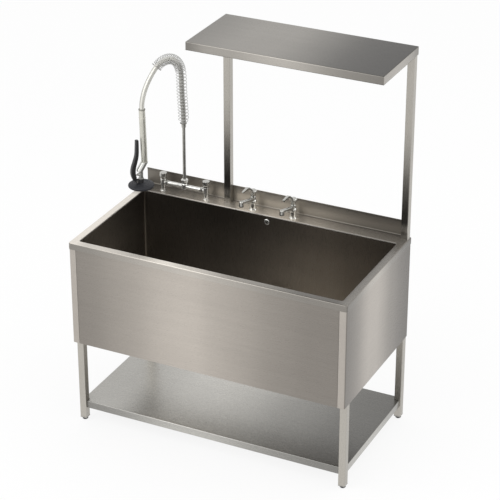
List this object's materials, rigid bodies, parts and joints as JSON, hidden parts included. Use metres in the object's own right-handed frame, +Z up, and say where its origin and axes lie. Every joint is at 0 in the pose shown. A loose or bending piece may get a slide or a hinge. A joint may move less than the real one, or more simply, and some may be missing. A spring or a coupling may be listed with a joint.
{
  "type": "free-standing wash trough",
  "caption": "Deep stainless wash trough on legs with undershelf, overhead shelf on posts, spring-arched spray mixer and lever pillar taps.",
  "frame": {"origin": "middle of the overall plan, on the floor under the feet", "axes": "+X to the right seen from the front, +Y to the back (wall side), +Z up"},
  "size_m": [1.3, 0.69, 1.775],
  "materials": {
    "sheet_steel": "satin brushed stainless sheet",
    "frame_steel": "satin square tube and folded section",
    "chrome": "bright plated brass",
    "steel_small": "stainless small parts",
    "black_plastic": "black moulded plastic",
    "grip_plastic": "pale insulating sleeve",
    "hose": "pale grey hose",
    "rubber": "dark rubber",
    "waste_plastic": "white moulded plastic"
  },
  "bodies": {
    "frame": {"basin": "sheet_steel", "top_sheet": "sheet_steel", "rear_upstand": "sheet_steel", "front_panel": "sheet_steel", "left_side_panel": "sheet_steel", "right_side_panel": "sheet_steel", "front_left_leg": "frame_steel", "front_right_leg": "frame_steel", "rear_left_leg": "frame_steel", "rear_right_leg": "frame_steel", "front_rail": "frame_steel", "bowl_rail": "frame_steel", "rear_rail": "frame_steel", "side_rails": "frame_steel", "inner_upright": "frame_steel", "leg_inserts": "frame_steel", "undershelf": "sheet_steel", "undershelf_stiffeners": "frame_steel", "left_post": "frame_steel", "right_post": "frame_steel", "post_spigots": "frame_steel", "overhead_shelf": "sheet_steel", "left_shelf_arm": "frame_steel", "right_shelf_arm": "frame_steel", "shelf_stiffener": "frame_steel", "mixer_body": "chrome", "mixer_backnuts": "chrome", "riser_nut": "chrome", "riser_pipe": "chrome", "left_tap_body": "chrome", "right_tap_body": "chrome", "tap_aerators": "steel_small", "tap_backnuts": "chrome", "overflow_rose": "chrome", "overflow_pipe": "waste_plastic", "waste_flange": "chrome", "waste_body": "waste_plastic", "waste_nut": "waste_plastic"},
    "spray_arm": {"hose_swivel": "chrome", "hose_spring": "chrome", "spring_end_ring": "steel_small", "spray_hose": "hose", "hose_ferrule": "chrome", "spray_grip": "grip_plastic", "spray_body": "chrome", "lever_bracket": "black_plastic", "lever_pin": "steel_small", "spray_rose": "rubber", "spray_face": "steel_small"},
    "spray_lever": {"spray_lever": "black_plastic"},
    "valve_plunger": {"valve_plunger": "steel_small"},
    "mixer_knob_left": {"mixer_knob_left": "chrome"},
    "mixer_knob_right": {"mixer_knob_right": "chrome"},
    "left_tap_lever": {"left_tap_lever": "chrome"},
    "right_tap_lever": {"right_tap_lever": "chrome"},
    "foot_front_left": {"foot_front_left": "black_plastic"},
    "foot_front_right": {"foot_front_right": "black_plastic"},
    "foot_rear_left": {"foot_rear_left": "black_plastic"},
    "foot_rear_right": {"foot_rear_right": "black_plastic"}
  },
  "joints": [
    {"name": "arm_swivel", "type": "hinge", "parent": "frame", "child": "spray_arm", "pos_m": [-0.424, 0.299, 1.24], "axis": [0, 0, 1], "range_deg": [-45, 100]},
    {"name": "spray_trigger", "type": "hinge", "parent": "spray_arm", "child": "spray_lever", "pos_m": [-0.56051, 0.10404, 1.02], "axis": [-0.8192, 0.5736, 0], "range_deg": [0, 3], "stiffness_Nm_per_rad": 2, "springref_deg": -2.86},
    {"name": "plunger_slide", "type": "slide", "parent": "spray_arm", "child": "valve_plunger", "axis": [0.5736, 0.8192, 0], "range_m": [0, 0.0016]},
    {"name": "mixer_knob_left_turn", "type": "hinge", "parent": "frame", "child": "mixer_knob_left", "pos_m": [-0.532, 0.299, 0.98], "axis": [0, 0, 1], "range_deg": [0, 90]},
    {"name": "mixer_knob_right_turn", "type": "hinge", "parent": "frame", "child": "mixer_knob_right", "pos_m": [-0.316, 0.299, 0.98], "axis": [0, 0, 1], "range_deg": [-90, 0]},
    {"name": "left_tap_turn", "type": "hinge", "parent": "frame", "child": "left_tap_lever", "pos_m": [-0.083, 0.299, 0.98], "axis": [0, 0, 1], "range_deg": [-90, 0]},
    {"name": "right_tap_turn", "type": "hinge", "parent": "frame", "child": "right_tap_lever", "pos_m": [0.112, 0.299, 0.98], "axis": [0, 0, 1], "range_deg": [0, 90]},
    {"name": "foot_front_left_screw", "type": "slide", "parent": "frame", "child": "foot_front_left", "axis": [0, 0, 1], "range_m": [-0.025, 0]},
    {"name": "foot_front_right_screw", "type": "slide", "parent": "frame", "child": "foot_front_right", "axis": [0, 0, 1], "range_m": [-0.025, 0]},
    {"name": "foot_rear_left_screw", "type": "slide", "parent": "frame", "child": "foot_rear_left", "axis": [0, 0, 1], "range_m": [-0.025, 0]},
    {"name": "foot_rear_right_screw", "type": "slide", "parent": "frame", "child": "foot_rear_right", "axis": [0, 0, 1], "range_m": [-0.025, 0]}
  ],
  "couplings": [
    {"joint": "plunger_slide", "follows": "spray_trigger", "m_per_rad": 0.03}
  ]
}
